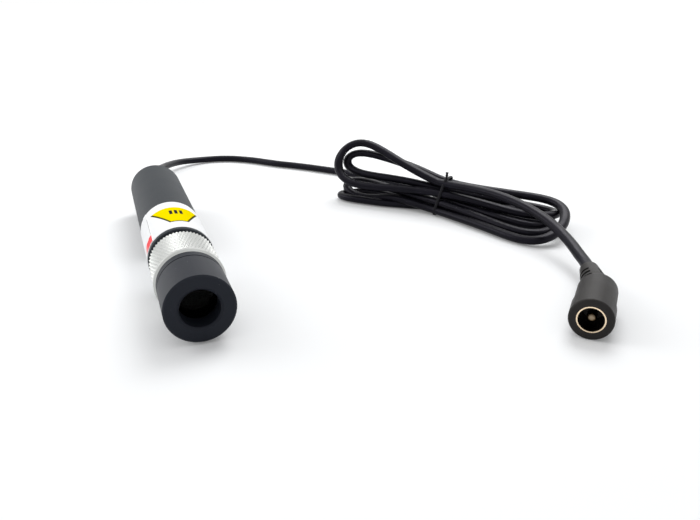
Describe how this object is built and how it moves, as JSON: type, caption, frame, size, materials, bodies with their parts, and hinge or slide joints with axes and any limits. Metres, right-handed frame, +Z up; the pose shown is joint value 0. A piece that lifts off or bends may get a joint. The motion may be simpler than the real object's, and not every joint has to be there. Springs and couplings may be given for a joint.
{
  "type": "laser diode module",
  "caption": "Tubular laser diode module with a knurled focusing head, wrapped label, and a two-core lead in a tied hank ending in a power socket.",
  "frame": {"origin": "under the middle of the module's length, on the plane it lies on", "axes": "+Z up, +Y along the optical axis towards the lead; the beam leaves towards -Y"},
  "size_m": [0.1248, 0.1944, 0.0205],
  "materials": {
    "housing_black": "matte black anodised",
    "head_black": "matte black anodised",
    "ring_silver": "bright knurled",
    "inner_black": "black anodised",
    "window_glass": "clear polished",
    "lens_glass": "clear polished",
    "washer_white": "satin",
    "spring_steel": "drawn wire",
    "holder_brass": "turned",
    "can_gold": "plated",
    "board_green": "solder mask",
    "chip_black": "moulded",
    "ceramic_tan": "ceramic",
    "trimmer_blue": "moulded",
    "cap_black": "moulded",
    "grommet_black": "moulded",
    "crimp_steel": "plated",
    "label_film": "white film",
    "cord_black": "satin sheath",
    "tie_black": "coated wire",
    "overmould_black": "matte moulding",
    "contact_gold": "plated",
    "core_black": "moulded",
    "core_red": "insulated wire",
    "core_dark": "insulated wire"
  },
  "bodies": {
    "housing": {"housing_tube": "housing_black", "focus_spring": "spring_steel", "diode_holder": "holder_brass", "diode_can": "can_gold", "diode_pins": "can_gold", "diode_clamp_ring": "holder_brass", "driver_board": "board_green", "driver_chip": "chip_black", "board_capacitors": "ceramic_tan", "board_resistors": "chip_black", "current_trimmer": "trimmer_blue", "rear_cap": "cap_black", "cable_grommet": "grommet_black", "cable_crimp": "crimp_steel", "label_wrap": "label_film", "lead_run": "cord_black", "cable_hank": "cord_black", "lead_tail": "cord_black", "hank_tie": "tie_black", "socket_overmould": "overmould_black", "socket_sleeve": "contact_gold", "socket_core": "core_black", "socket_pin": "contact_gold", "socket_lugs": "contact_gold", "supply_wire_positive": "core_red", "supply_wire_negative": "core_dark"},
    "washer": {"slip_washer": "washer_white"},
    "focus_barrel": {"focus_ring": "ring_silver", "head_shell": "head_black", "front_window": "window_glass", "window_retainer": "inner_black", "lens_cell": "inner_black", "collimating_lens": "lens_glass", "lens_retainer": "inner_black"}
  },
  "joints": [
    {"name": "focus_travel", "type": "slide", "parent": "housing", "child": "washer", "axis": [0, 1, 0], "range_m": [-0.0015, 0.00112], "deforming": ["focus_spring"]},
    {"name": "focus_turn", "type": "hinge", "parent": "washer", "child": "focus_barrel", "pos_m": [0, -0.03, 0.0081], "axis": [0, 1, 0], "range_deg": [-720, 540]}
  ],
  "couplings": [
    {"joint": "focus_travel", "follows": "focus_turn", "m_per_rad": 0.00011937}
  ]
}
